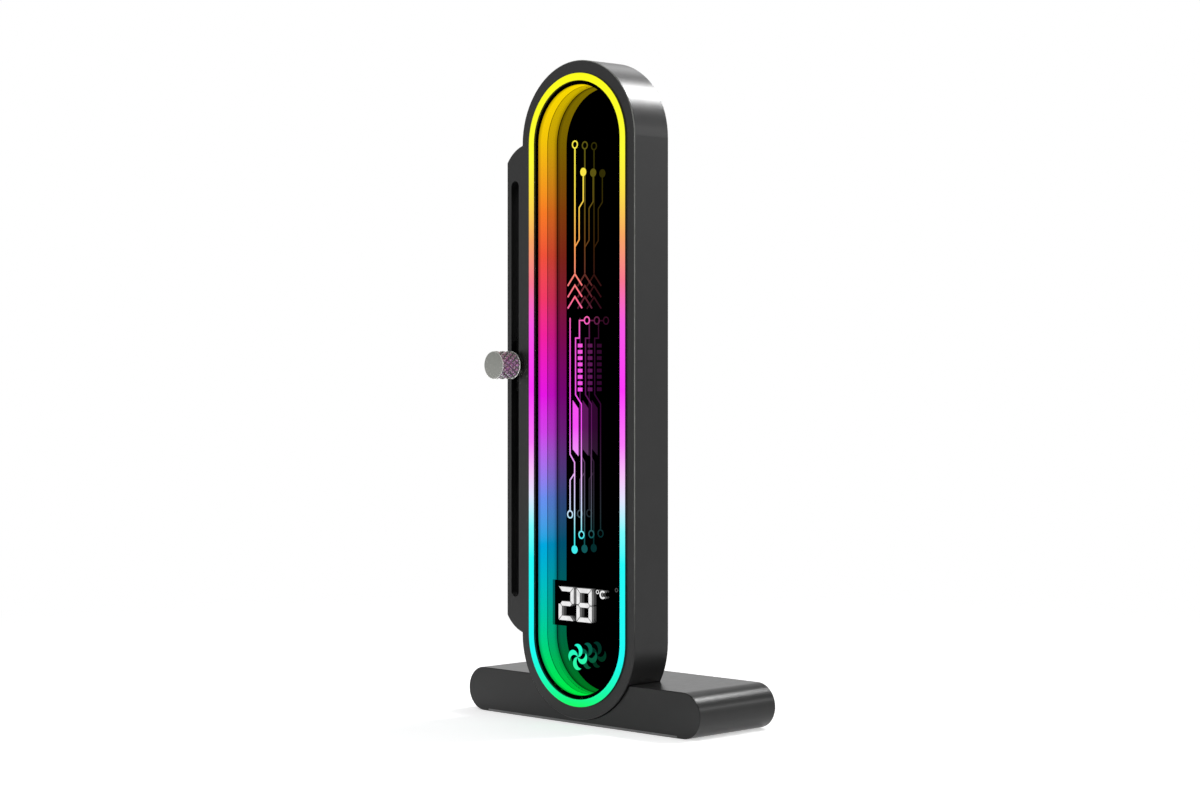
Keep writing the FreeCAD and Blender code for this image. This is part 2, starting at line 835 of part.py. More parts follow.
os.makedirs("parts", exist_ok=True)
for node in NODES:
    node().exportStep(f"parts/{node.__name__}.step")
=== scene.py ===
"""Looks of a tall support bracket: a dark column with a lit mirror tunnel, on a heavy base.

The frame is in metres, and place() and span() turn millimetres into metres and back. The colours of
the tunnel's light go by height, from the top of a node to its bottom, so they follow the frame. The
lens, the display, the thumbscrew, the arm's pad and the cover's screws are finer pieces that stand
for plain nodes. Every other node keeps its shape and gets a material here.
"""

import math

import bmesh
import bpy
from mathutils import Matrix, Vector


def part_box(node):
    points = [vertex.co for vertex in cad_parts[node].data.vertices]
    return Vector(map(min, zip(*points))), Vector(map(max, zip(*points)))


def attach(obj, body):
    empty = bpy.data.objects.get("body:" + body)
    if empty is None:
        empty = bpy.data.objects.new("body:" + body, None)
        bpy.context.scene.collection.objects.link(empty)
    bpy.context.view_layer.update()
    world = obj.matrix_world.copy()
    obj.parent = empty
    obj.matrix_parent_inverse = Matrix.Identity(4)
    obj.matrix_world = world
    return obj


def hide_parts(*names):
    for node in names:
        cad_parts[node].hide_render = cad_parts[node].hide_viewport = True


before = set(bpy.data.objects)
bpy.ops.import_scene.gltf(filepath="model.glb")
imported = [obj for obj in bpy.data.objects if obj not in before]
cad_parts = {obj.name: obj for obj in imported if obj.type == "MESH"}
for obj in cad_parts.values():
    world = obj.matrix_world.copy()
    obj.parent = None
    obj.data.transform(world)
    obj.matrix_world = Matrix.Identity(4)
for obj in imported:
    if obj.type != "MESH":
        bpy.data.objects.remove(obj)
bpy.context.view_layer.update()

MM = 0.001
TURN = 2 * math.pi

# Camera
camera_place = (0.58898, -0.60520, 0.12277)
camera_target = (0.00544, -0.01413, 0.12277)
camera_lens = 74.69
camera_drop = -0.03625
camera_near = 0.01
camera_far = 50.0

# Even light, the grey that gloss sees overhead, and the heights between which that grey comes in
ambient = 0.62
ceiling_grey = 0.40
ceiling_rise = (0.30, 0.52)

# Lamps: each has a name, a target, the way to the lamp, its distance, size, power and beam
column_shoulder = (0.0225, -0.012, 0.209)
base_end = (0.060, 0.0, 0.010)
narrow_beam = math.radians(26)
wide_beam = math.radians(60)
LAMPS = (
    ("shoulder_lamp", column_shoulder, (0.20, 0.707, 0.678), 0.9, (0.34, 0.26), 0.40, narrow_beam),
    ("crown_lamp", column_shoulder, (-0.42, 0.707, 0.57), 0.9, (0.34, 0.24), 0.017, narrow_beam),
    ("side_lamp", base_end, (0.61, 0.70, 0.34), 1.2, (0.30, 0.10), 0.07, wide_beam),
)

# Floor
floor_radius = 6.0
floor_greys = (0.86, 0.88)
floor_lift = 0.50
floor_fade = (0.16, 0.45)

# Mirror tunnel: the shares say how bright a thing is seen directly, once and twice in the mirror
mirror_share = 0.98
first_bounce = 0.5
last_bounce = 1.5
wall_shares = (1.0, 0.66, 0.23)
print_shares = (1.0, 0.116, 0.034)
digit_shares = (1.0, 0.4, 0.1)
rim_gloss = 0.03
ring_side = 0.03
wall_dim = 0.5
wall_dim_depth = 1.5
# Strength of the painted glow on the back mirror's cut edges
painted_edge_glow = 0.22

# Where on a noise from 0 to 1 the darker shade ends and the lighter one begins
shade_from = 0.3
shade_to = 0.7

# Coated metal: two greys, roughness, grain and gloss
satin = (0.0095, 0.0120, 0.33, 5200.0, 0.32)
base_satin = (0.0095, 0.0125, 0.31, 4200.0, 0.29)

# Painted highlight on the housing's bevelled edges: its shades, their slope and its slack, and the heights
# it fades in at
edge_highlight_shades = ("#74756f", "#8a8b88")
edge_slope = math.sqrt(0.5)
edge_slack = 0.05
edge_fade = (0.030, 0.065)

# Walls and front skin round the rail's inside, which is painted black as shade
hollow_wall = 0.9 * MM
hollow_skin = 0.1 * MM

# Colours of the light by height, from the top of the lit ring to its bottom
ring_stops = (
    (0.00, "#fbfb00"), (0.13, "#fcfc2d"), (0.19, "#fce040"), (0.26, "#f7a55f"), (0.33, "#f8748e"),
    (0.40, "#f853e6"), (0.50, "#fd2ffb"), (0.585, "#fa78fa"), (0.635, "#f6c4f9"), (0.67, "#e2e4fd"),
    (0.72, "#76fafb"), (0.77, "#14fbf8"), (0.92, "#04fbf4"), (1.00, "#00fa64"),
)
wall_stops = (
    (0.00, "#ffe000"), (0.09, "#f5c60b"), (0.21, "#f87a27"), (0.28, "#f2523a"), (0.35, "#f33a67"),
    (0.41, "#f4239e"), (0.51, "#e816e6"), (0.57, "#d343ec"), (0.63, "#a573ef"), (0.68, "#6a90f1"),
    (0.755, "#00a9e1"), (0.87, "#00cba8"), (0.94, "#01dd70"), (1.00, "#00f040"),
)
print_stops = (
    (0.00, "#fdf650"), (0.16, "#fce848"), (0.27, "#fca055"), (0.35, "#ff7088"), (0.42, "#fb5ae0"),
    (0.56, "#fa50fa"), (0.64, "#ecb8fa"), (0.70, "#c8e4fb"), (0.74, "#48eef2"), (0.90, "#1dfae6"),
    (0.94, "#2efeaf"), (1.00, "#20fe80"),
)

# Lens, in millimetres; the share says where the middle of its softened edge lies
lens_soft = 0.18
lens_soft_share = 0.3
lens_arc_steps = 48

# Display, in millimetres from its lower left corner
case_wall = 0.5
case_floor = 0.35
case_edge = 0.06
glass_thick = 0.3
glass_behind = 0.1
glass_gap = 0.02
glass_edge = 0.04
digit_low = 1.5
digit_tall = 11.3
digit_wide = 7.2
digit_stroke = 1.5
digit_gap = 0.2
digit_thick = 0.05
digit_lefts = (1.48, 10.08)
segments_lit = ("abged", "abcdefg")
degree_place = (20.0, 12.1)
degree_size = (0.72, 0.28)
celsius_place = (22.4, 11.3)
celsius_size = (1.42, 0.60)
celsius_open = math.radians(42)
mark_steps = 28
# Steps back and levels of the dimmer glowing copies that paint the digits' reflections in the glass
echo_steps = (1.08, 2.16)
digit_level = 0.9
echo_light = (0.17, 0.055)

# Thumbscrew, in millimetres; the knob's ends are pairs of a depth and a cut from its radius
knob_length = 8.35
knob_radius = 4.8
knob_front = ((0.0, 0.4), (0.1, 0.12))
knob_back = ((0.05, 0.4), (0.0, 0.55))
grip_inset = 0.3
neck_length = 0.85
neck_radius = 3.2
neck_break = 0.1
neck_steps = 96
shank_radius = 1.5
shank_steps = 40
knurl_starts = 16
knurl_steps = 10
knurl_rows = 84
knurl_lean = 0.34
knurl_depth = 0.36
knurl_groove = 0.72
knurl_at_end = 0.25
knurl_crest = 0.05
knurl_metal = 0.62
thread_pitch = 0.5
thread_depth = 0.24
thread_steps = 8
thread_taper = 0.6
thread_at_end = 0.75

# Arm pad, in millimetres
pad_corner = 4.0
pad_corner_steps = 10
pad_soft = 0.45
pad_soft_middle = 0.13
rib_count = 7
rib_radius = 0.55
rib_tall = 0.45
rib_inset = 1.2
rib_at_end = 0.03
rib_steps = 12

# Cover screws, in millimetres; the head's rim is pairs of a depth and a cut from its radius
screw_length = 6.0
screw_shank_radius = 0.8
screw_tip_length = 0.2
screw_tip_share = 0.8
screw_head_radius = 1.7
screw_head_tall = 0.9
screw_rim = ((0.12, 0.08), (0.05, 0.0), (0.0, 0.06))
screw_steps = 48
key_depth = 0.55
key_radius = 0.68
key_wave = 0.12
key_lobes = 6


def tone(value):
    """A screen colour code, or a grey level, as linear red, green, blue and alpha."""
    if not isinstance(value, str):
        return (value, value, value, 1.0)
    parts = [int(value[k:k + 2], 16) / 255 for k in (1, 3, 5)]
    plain = [p / 12.92 if p <= 0.04045 else ((p + 0.055) / 1.055) ** 2.4 for p in parts]
    return (*plain, 1.0)


def place(x, y, z):
    """A point given in millimetres."""
    return Vector((x, y, z)) * MM


def span(node):
    """Lowest and highest corner of a node, in millimetres."""
    low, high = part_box(node)
    return Vector(low) / MM, Vector(high) / MM


# Materials
class Shader:
    """The node tree of a new material or world, with short ways to add nodes."""

    def __init__(self, name, world=False):
        self.owner = (bpy.data.worlds if world else bpy.data.materials).new(name)
        self.owner.use_nodes = True
        self.tree = self.owner.node_tree
        self.tree.nodes.clear()
        self.output = self.node("OutputWorld" if world else "OutputMaterial")

    def plug(self, socket, value):
        """Link a socket, or set it to a number, a vector or a colour."""
        if isinstance(value, bpy.types.NodeSocket):
            self.tree.links.new(value, socket)
        elif socket.type == "RGBA":
            socket.default_value = tone(value)
        else:
            socket.default_value = value

    def fill(self, made, values):
        """Plug values into a node's inputs in order, and take its first output."""
        for socket, value in zip(made.inputs, values):
            self.plug(socket, value)
        return made.outputs[0]

    def node(self, kind, **inputs):
        made = self.tree.nodes.new("ShaderNode" + kind)
        for name, value in inputs.items():
            self.plug(made.inputs[name.replace("_", " ")], value)
        return made

    def first(self, kind, **inputs):
        """A new node's first output."""
        return self.node(kind, **inputs).outputs[0]

    def math(self, operation, *values):
        made = self.node("Math")
        made.operation = operation
        return self.fill(made, values)

    def vector(self, operation, first, second=(0, 0, 0), output="Vector"):
        made = self.node("VectorMath")
        made.operation = operation
        self.plug(made.inputs[0], first)
        self.plug(made.inputs["Scale" if operation == "SCALE" else 1], second)
        return made.outputs[output]

    def mix(self, share, first, second):
        """One shader turned into another by a share."""
        return self.fill(self.node("MixShader"), (share, first, second))

    def place(self):
        return self.node("TexCoord").outputs["Object"]

    def part(self, vector, axis):
        """One component of a vector."""
        return self.node("SeparateXYZ", Vector=vector).outputs[axis]

    def faces(self, axis="Y"):
        """One component of the surface's own normal."""
        return self.part(self.node("TexCoord").outputs["Normal"], axis)

    def ray(self, fact):
        """What is known of the light's path."""
        return self.node("LightPath").outputs[fact]

    def noise(self, scale, detail=2.0, stretch=None):
        """Noise by place, drawn out into lines by a stretch."""
        where = self.place()
        if stretch:
            where = self.first("Mapping", Vector=where, Scale=stretch)
        return self.node("TexNoise", Vector=where, Scale=scale, Detail=detail).outputs["Fac"]

    def ramp(self, value, stops):
        """Colours along a value."""
        made = self.node("ValToRGB", Fac=value)
        band = made.color_ramp
        for k, (where, colour) in enumerate(stops):
            stop = band.elements[k] if k < 2 else band.elements.new(where)
            stop.position = where
            stop.color = tone(colour)
        return made.outputs["Color"]

    def shades(self, value, dark, light):
        """A darker shade that turns into a lighter one over the middle of a value."""
        return self.ramp(value, ((shade_from, dark), (shade_to, light)))

    def spread(self, value, low, high, start=0.0, end=1.0, smooth=False):
        """The value's run from start to end, spread over low to high."""
        limits = {"From_Min": start, "From_Max": end, "To_Min": low, "To_Max": high}
        made = self.node("MapRange", Value=value, **limits)
        made.interpolation_type = "SMOOTHSTEP" if smooth else "LINEAR"
        return made.outputs["Result"]

    def bump(self, height, distance, strength=0.5):
        return self.node("Bump", Height=height, Strength=strength, Distance=distance).outputs["Normal"]

    def body(self, colour, rough, gloss, **inputs):
        """A solid surface, with its other inputs by name."""
        inputs["Specular_IOR_Level"] = gloss
        return self.first("BsdfPrincipled", Base_Color=colour, Roughness=rough, **inputs)

    def shine(self, colour, rough, strength=1.0, grey=0.02):
        """A dark surface that gives light of a colour."""
        return self.body(grey, rough, 0.0, Emission_Color=colour, Emission_Strength=strength)

    def done(self, shader):
        self.plug(self.output.inputs["Surface"], shader)
        return self.owner


# Mask of where the rail's inside gets painted black shade
def inside(s, node):
    """1 behind a node's front skin and within its walls at the sides and ends, and otherwise 0."""
    low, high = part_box(node)
    limits = {
        "X": (low[0] + hollow_wall, high[0] - hollow_wall),
        "Y": (low[1] + hollow_skin, high[1] + hollow_wall),
        "Z": (low[2] + hollow_wall, high[2] - hollow_wall),
    }
    share = 1.0
    for axis, (start, end) in limits.items():
        here = s.part(s.place(), axis)
        share = s.math("MULTIPLY", share, s.math("GREATER_THAN", here, start))
        share = s.math("MULTIPLY", share, s.math("LESS_THAN", here, end))
    return share


def coat(name, dark, light, rough, grain, gloss, edge=None, hollow=None):
    """Satin coated metal: mottling, an uneven sheen, a fine grain, a painted highlight on bevelled edges
    and painted black shade in hollows.
    """
    s = Shader(name)
    colour = s.shades(s.noise(90.0, 4.0), dark, light)
    sheen = s.spread(s.noise(420.0, 3.0), rough - 0.03, rough + 0.03)
    normal = s.bump(s.noise(grain), 0.01 * MM, 0.35)
    skin = s.body(colour, sheen, gloss, Normal=normal)
    # Bevelled edges above the base get a paler colour as a painted highlight
    if edge:
        off_slope = s.math("SUBTRACT", s.math("ABSOLUTE", s.faces()), edge_slope)
        on_slope = s.math("LESS_THAN", s.math("ABSOLUTE", off_slope), edge_slack)
        above_base = s.spread(s.part(s.place(), "Z"), 0.0, 1.0, *edge_fade)
        edge_highlight = s.body(s.shades(s.noise(260.0, 3.0), *edge), 0.4, gloss)
        skin = s.mix(s.math("MULTIPLY", on_slope, above_base), skin, edge_highlight)
    # The hollow inside is painted black: painted shade in the rail's channel
    if hollow:
        black = s.body(0.002, 0.7, 0.1)
        skin = s.mix(inside(s, hollow), skin, black)
    return s.done(skin)


def steel(name, dark, light, rough, stretch):
    """Turned or rolled steel with fine lines along one way."""
    s = Shader(name)
    lines = s.noise(1.0, 3.0, stretch)
    colour = s.shades(lines, dark, light)
    sheen = s.spread(lines, rough - 0.05, rough + 0.08)
    normal = s.bump(lines, 0.008 * MM, 0.3)
    return s.done(s.body(colour, sheen, 0.5, Normal=normal, Metallic=1.0))


def knurled_steel():
    """Bright steel with painted shade darkening the bottom of its knurl's grooves and a painted highlight
    brightening its crests.
    """
    low, high = span("thumbscrew")
    s = Shader("knurled_steel")
    from_centre = s.vector("SUBTRACT", s.place(), (low + high) / 2 * MM)
    across = s.vector("MULTIPLY", from_centre, (1, 0, 1))
    radius = s.vector("LENGTH", across, output="Value")
    rise = s.spread(radius, 0.0, 1.0, (knob_radius - knurl_depth) * MM, (knob_radius - knurl_crest) * MM)
    # Painted shade in the grooves, paling to a painted highlight on the crests
    colour = s.ramp(rise, ((0.0, "#8e8e8b"), (0.45, "#bdbdb9"), (0.9, "#e2e2dd")))
    sheen = s.spread(s.noise(1500.0), 0.2, 0.32)
    return s.done(s.body(colour, sheen, 0.5, Metallic=knurl_metal))


def moulded(name, dark, light, rough, grain=1400.0, gloss=0.4):
    """Moulded plastic or rubber with a fine spark-eroded grain."""
    s = Shader(name)
    colour = s.shades(s.noise(140.0, 3.0), dark, light)
    pits = s.noise(grain)
    sheen = s.spread(pits, rough - 0.06, rough + 0.06)
    return s.done(s.body(colour, sheen, gloss, Normal=s.bump(pits, 0.03 * MM, 0.4)))


def circuit_board():
    """Solder mask with the ghost of copper traces under it."""
    s = Shader("solder_mask")
    colours = {"Color1": "#0d3a22", "Color2": "#114a2b", "Mortar": "#1c6b40"}
    traces = s.node("TexBrick", Vector=s.place(), Scale=260.0, **colours)
    sheen = s.spread(s.noise(300.0), 0.3, 0.4)
    normal = s.bump(traces.outputs["Fac"], 0.03 * MM)
    return s.done(s.body(traces.outputs["Color"], sheen, 0.5, Normal=normal))


def hues(s, node, stops):
    """Colours by height, from the top of a node to its bottom."""
    low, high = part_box(node)
    return s.ramp(s.spread(s.part(s.place(), "Z"), 0.0, 1.0, high[2], low[2]), stops)


def lit(name, node, stops, level):
    """Frosted plastic lit from behind, with colours by height and a level made by a function."""
    s = Shader(name)
    colour = s.vector("SCALE", hues(s, node, stops), level(s))
    return s.done(s.shine(colour, s.spread(s.noise(900.0), 0.45, 0.6)))


def front_only(s):
    """The ring shines from its front face, and its sides are nearly dark."""
    return s.spread(s.math("LESS_THAN", s.faces(), -0.5), ring_side, 1.0)


def echo_level(s, shares):
    """The first share when seen directly, and the later ones when seen once or twice in the mirror."""
    depth = s.ray("Glossy Depth")
    once = s.math("GREATER_THAN", depth, first_bounce)
    twice = s.math("GREATER_THAN", depth, last_bounce)
    lost = s.math("MULTIPLY", once, shares[0] - shares[1])
    lost_again = s.math("MULTIPLY", twice, shares[1] - shares[2])
    return s.math("SUBTRACT", s.math("SUBTRACT", shares[0], lost), lost_again)


def wall_level(s):
    """The wall is dimmer near the lens."""
    low, _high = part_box("light_wall_front")
    near_lens = s.spread(s.part(s.place(), "Y"), wall_dim, 1.0, low[1], low[1] + wall_dim_depth * MM)
    return s.math("MULTIPLY", near_lens, echo_level(s, wall_shares))


def print_level(s):
    return echo_level(s, print_shares)


def glow(name, level):
    """Lit display segment with a faintly uneven light."""
    s = Shader(name)
    light = s.ramp(s.noise(700.0, 1.0), ((0.35, level * 0.86), (0.6, level)))
    return s.done(s.shine(s.vector("SCALE", light, echo_level(s, digit_shares)), 0.5))


def clear_plate(name, dark, light):
    """Clear acrylic with the faintest uneven tint."""
    s = Shader(name)
    return s.done(s.first("BsdfTransparent", Color=s.shades(s.noise(40.0), dark, light)))


def lens_face():
    """Clear hard-coated face whose softened rim catches a little light."""
    s = Shader("lens_face")
    clear = s.first("BsdfTransparent", Color=s.shades(s.noise(40.0), 0.99, 1.0))
    gloss = s.first("BsdfGlossy", Color=1.0, Roughness=s.spread(s.noise(60.0), 0.1, 0.2))
    on_rim = s.math("LESS_THAN", s.math("ABSOLUTE", s.faces()), 0.95)
    return s.done(s.mix(s.math("MULTIPLY", on_rim, rim_gloss), clear, gloss))


def lens_film():
    """Half-mirror film: clear from the front, and a mirror from inside the tunnel."""
    s = Shader("lens_film")
    gloss = s.first("BsdfGlossy", Color=mirror_share, Roughness=0.0)
    clear = s.first("BsdfTransparent", Color=1.0)
    from_front = s.node("NewGeometry").outputs["Backfacing"]
    return s.done(s.mix(from_front, gloss, clear))


def back_mirror():
    """Mirror whose upright cut edges have a faint painted glow in the wall's colours, and that goes dark
    after its last bounce.
    """
    s = Shader("back_mirror_coat")
    gloss = s.first("BsdfGlossy", Color=mirror_share, Roughness=0.0)
    # The cut edges shine with a painted glow in the wall's colours
    edge = s.shine(hues(s, "light_wall_front", wall_stops), 0.4, painted_edge_glow, 0.01)
    on_side = s.math("GREATER_THAN", s.math("ABSOLUTE", s.faces("X")), 0.5)
    dark = s.first("BsdfDiffuse", Color=0.0)
    spent = s.math("GREATER_THAN", s.ray("Glossy Depth"), last_bounce)
    return s.done(s.mix(spent, s.mix(on_side, gloss, edge), dark))


housing_coat = coat("housing_coat", *satin, edge=edge_highlight_shades)
dark_coat = coat("dark_satin_coat", *satin)
rail_coat = coat("rail_coat", *satin, hollow="side_rail")
base_coat = coat("base_satin_coat", *base_satin)
turned_steel = steel("turned_steel", "#9c9c97", "#bdbdb8", 0.28, (1.0, 60000.0, 1.0))
knob_face = steel("knob_end_steel", "#92938e", "#9c9d98", 0.55, (9000.0, 1.0, 9000.0))
knob_grip = knurled_steel()
plated_steel = steel("plated_steel", "#a9a9ad", "#c8c8cc", 0.22, (9000.0, 700.0, 700.0))
black_steel = steel("black_oxide_steel", "#2a2a2b", "#3a3a3b", 0.36, (3000.0, 900.0, 3000.0))
black_shell = moulded("black_grained_plastic", 0.011, 0.017, 0.52)
tray_shell = moulded("black_inner_plastic", 0.012, 0.02, 0.6, 900.0)
pad_rubber = moulded("pad_silicone", 0.014, 0.022, 0.68, 1900.0, 0.3)
foot_rubber = moulded("foot_grey_rubber", "#7c7c7c", "#8a8a8a", 0.7, 1700.0, 0.3)
mask_film = moulded("black_film", 0.0, 0.001, 0.9, 700.0, 0.0)
lamp_resin = moulded("lamp_resin", "#e8e4cf", "#f6f3e4", 0.3, 2600.0)
board_coat = circuit_board()
ring_light = lit("ring_light", "halo_ring", ring_stops, front_only)
wall_light = lit("wall_light", "light_wall_front", wall_stops, wall_level)
print_light = lit("print_light", "light_wall_front", print_stops, print_level)
lens_looks = (lens_face(), lens_film())
plate_clear = clear_plate("printed_plate_clear", 0.985, 0.995)
glass_clear = clear_plate("display_glass_clear", 0.94, 0.97)
mirror_coat = back_mirror()
digit_light = glow("digit_light", digit_level)
# Lights of the glowing copies that paint the digits' reflections
echo_lights = [glow(f"digit_echo_light_{k + 1}", level) for k, level in enumerate(echo_light)]

NODE_LOOKS = {
    "base_block": base_coat,
    "base_pad": foot_rubber,
    "base_magnets": plated_steel,
    "base_screws": black_steel,
    "column_housing": housing_coat,
    "halo_ring": ring_light,
    "lens_mask": mask_film,
    "light_wall_front": wall_light,
    "light_wall_rear": wall_light,
    "pattern_plate": plate_clear,
    "circuit_print": print_light,
    "mirror_seal": mask_film,
    "back_mirror": mirror_coat,
    "mid_tray": tray_shell,
    "lighting_strip": board_coat,
    "led_chips": lamp_resin,
    "control_board": board_coat,
    "board_parts": black_shell,
    "temperature_sensor": black_shell,
    "power_socket": plated_steel,
    "board_screws": black_steel,
    "rear_cover": black_shell,
    "side_rail": rail_coat,
    "rail_screws": black_steel,
    "support_arm": dark_coat,
    "thumbscrew_washer": turned_steel,
}
for node, look in NODE_LOOKS.items():
    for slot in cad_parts[node].material_slots:
        slot.material = look


# Mesh helpers
def finish_piece(name, mesh_data, sharp, materials, body, stands_for=()):
    """Turn mesh data into a piece that rides on a body, with edges over the sharp angle left hard."""
    bmesh.ops.recalc_face_normals(mesh_data, faces=mesh_data.faces)
    for face in mesh_data.faces:
        face.smooth = True
    for edge in mesh_data.edges:
        edge.smooth = edge.is_manifold and edge.calc_face_angle(0.0) < math.radians(sharp)
    mesh = bpy.data.meshes.new(name)
    mesh_data.to_mesh(mesh)
    mesh_data.free()
    piece = bpy.data.objects.new(name, mesh)
    bpy.context.scene.collection.objects.link(piece)
    for material in materials:
        mesh.materials.append(material)
    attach(piece, body)
    for node in stands_for:
        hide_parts(node)


def bridge(data, rows):
    """Quads between rows of vertices that each run round a loop."""
    for first, second in zip(rows, rows[1:]):
        for k, vertex in enumerate(first):
            j = (k + 1) % len(first)
            data.faces.new((vertex, first[j], second[j], second[k]))


def cap(data, rows):
    """Close both ends of a run of rows."""
    return data.faces.new(rows[0][::-1]), data.faces.new(rows[-1])


def on_circle(centre, radius, angle):
    """The point at an angle of a circle."""
    return centre[0] + radius * math.cos(angle), centre[1] + radius * math.sin(angle)


def turned(data, centre, levels, around):
    """A turned solid along Y: each level is a y and a radius, or a radius for each angle and y."""
    rows = []
    for y, radius in levels:
        row = []
        for k in range(around):
            angle = TURN * k / around
            x, z = on_circle(centre, radius(angle, y) if callable(radius) else radius, angle)
            row.append(data.verts.new(place(x, y, z)))
        rows.append(row)
    bridge(data, rows)
    return cap(data, rows)


def prism(data, outline, y_near, y_far):
    """A flat closed outline of (x, z) points given a thickness along Y."""
    rows = [[data.verts.new(place(x, y, z)) for x, z in outline] for y in (y_near, y_far)]
    bridge(data, rows)
    cap(data, rows)


# Lens
def stadium_row(data, radius, y, low, high):
    """Vertices round an upright stadium whose arcs are centred at low and high."""
    row = []
    for height, start in ((high, 0.0), (low, math.pi)):
        for k in range(lens_arc_steps + 1):
            x, z = on_circle((0.0, height), radius, start + math.pi * k / lens_arc_steps)
            row.append(data.verts.new(place(x, y, z)))
    return row


def lens():
    """Clear cover with a softened front edge and the half-mirror film on its back."""
    low, high = span("front_lens")
    radius = (high.x - low.x) / 2
    bottom, top = low.z + radius, high.z - radius
    middle = lens_soft * lens_soft_share
    data = bmesh.new()
    levels = ((radius - lens_soft, low.y), (radius - middle, low.y + middle))
    levels += ((radius, low.y + lens_soft), (radius, high.y))
    rows = [stadium_row(data, r, y, bottom, top) for r, y in levels]
    bridge(data, rows)
    _front, back = cap(data, rows)
    back.material_index = 1
    finish_piece("half_mirror_lens", data, 35, lens_looks, "stand", ["front_lens"])


# Display
def segment_outlines(left, low, lit_segments):
    """Outlines of the lit segments of one digit, with mitred ends and thin gaps."""
    wide, tall, thick, gap = digit_wide, digit_tall, digit_stroke, digit_gap
    half, tip = tall / 2, thick / 2
    start, end = thick + gap, wide - thick - gap
    top = [(gap, tall), (wide - gap, tall), (end, tall - thick), (start, tall - thick)]
    upper = [(0, tall - gap), (0, half + gap), (tip, half + gap)]
    upper += [(thick, half + tip + gap), (thick, tall - thick - gap)]
    middle = [(tip + gap, half), (start, half + tip), (end, half + tip)]
    middle += [(wide - tip - gap, half), (end, half - tip), (start, half - tip)]

    def across(outline):
        return [(wide - x, z) for x, z in outline]

    def upside_down(outline):
        return [(x, tall - z) for x, z in outline]

    lower = upside_down(upper)
    segments = {
        "a": top, "b": across(upper), "c": across(lower), "d": upside_down(top),
        "e": lower, "f": upper, "g": middle,
    }
    return [[(left + x, low + z) for x, z in segments[name]] for name in lit_segments]


def arc_strips(centre, radius, stroke, opening):
    """A ring, or a letter C, as short flat strips."""
    rows = []
    for k in range(mark_steps + 1):
        angle = opening + (TURN - 2 * opening) * k / mark_steps
        rows.append((on_circle(centre, radius, angle), on_circle(centre, radius - stroke, angle)))
    return [[first[0], second[0], second[1], first[1]] for first, second in zip(rows, rows[1:])]


def digits(name, y, material):
    """Two digits, the degree ring and the C, standing on a plane of the display."""
    low, _high = span("display_module")
    outlines = []
    for left, lit_segments in zip(digit_lefts, segments_lit):
        outlines += segment_outlines(low.x + left, low.z + digit_low, lit_segments)
    marks = ((degree_place, degree_size, 0.0), (celsius_place, celsius_size, celsius_open))
    for spot, (radius, stroke), opening in marks:
        outlines += arc_strips((low.x + spot[0], low.z + spot[1]), radius, stroke, opening)
    data = bmesh.new()
    for outline in outlines:
        prism(data, outline, y - digit_thick, y)
    finish_piece(name, data, 30, [material], "stand")


def rectangle(low, high, inset):
    """Corners of an upright rectangle, inset on all sides."""
    left, right, bottom, top = low.x + inset, high.x - inset, low.z + inset, high.z - inset
    return [(left, bottom), (right, bottom), (right, top), (left, top)]


def display():
    """Black case open to the front, its glass, the lit digits and dimmer glowing copies behind them that
    paint the digits' reflections in the glass.
    """
    low, high = span("display_module")
    data = bmesh.new()
    levels = ((0, high.y), (0, low.y), (case_wall, low.y), (case_wall, high.y - case_floor))
    rows = [[data.verts.new(place(x, y, z)) for x, z in rectangle(low, high, inset)] for inset, y in levels]
    bridge(data, rows)
    cap(data, rows)
    bmesh.ops.bevel(data, geom=data.edges, offset=case_edge * MM, segments=2, affect="EDGES")
    finish_piece("display_case", data, 40, [mask_film], "stand", ["display_module"])
    front = low.y + glass_behind
    data = bmesh.new()
    prism(data, rectangle(low, high, case_wall + glass_gap), front, front + glass_thick)
    bmesh.ops.bevel(data, geom=data.edges, offset=glass_edge * MM, segments=1, affect="EDGES")
    finish_piece("display_glass", data, 30, [glass_clear], "stand")
    digits("display_digits", front, digit_light)
    # Dimmer glowing copies behind the glass paint the digits' reflections
    for k, step in enumerate(echo_steps):
        digits(f"display_echo_{k + 1}", front + step, echo_lights[k])


# Thumbscrew
def knurl(middle, half):
    """Radius of the diamond knurl at an angle and a y, fading out at the grip's ends."""

    def radius(angle, y):
        turn = knurl_starts * angle / TURN
        lean = (y - middle) * knurl_lean
        first = abs((turn + lean) % 1.0 - 0.5) * 2
        second = abs((turn - lean) % 1.0 - 0.5) * 2
        groove = max(0.0, 1 - min(first, second) / knurl_groove)
        fade = min(1.0, (half - abs(y - middle)) / grip_inset + knurl_at_end)
        return knob_radius - knurl_depth * groove * fade

    return radius


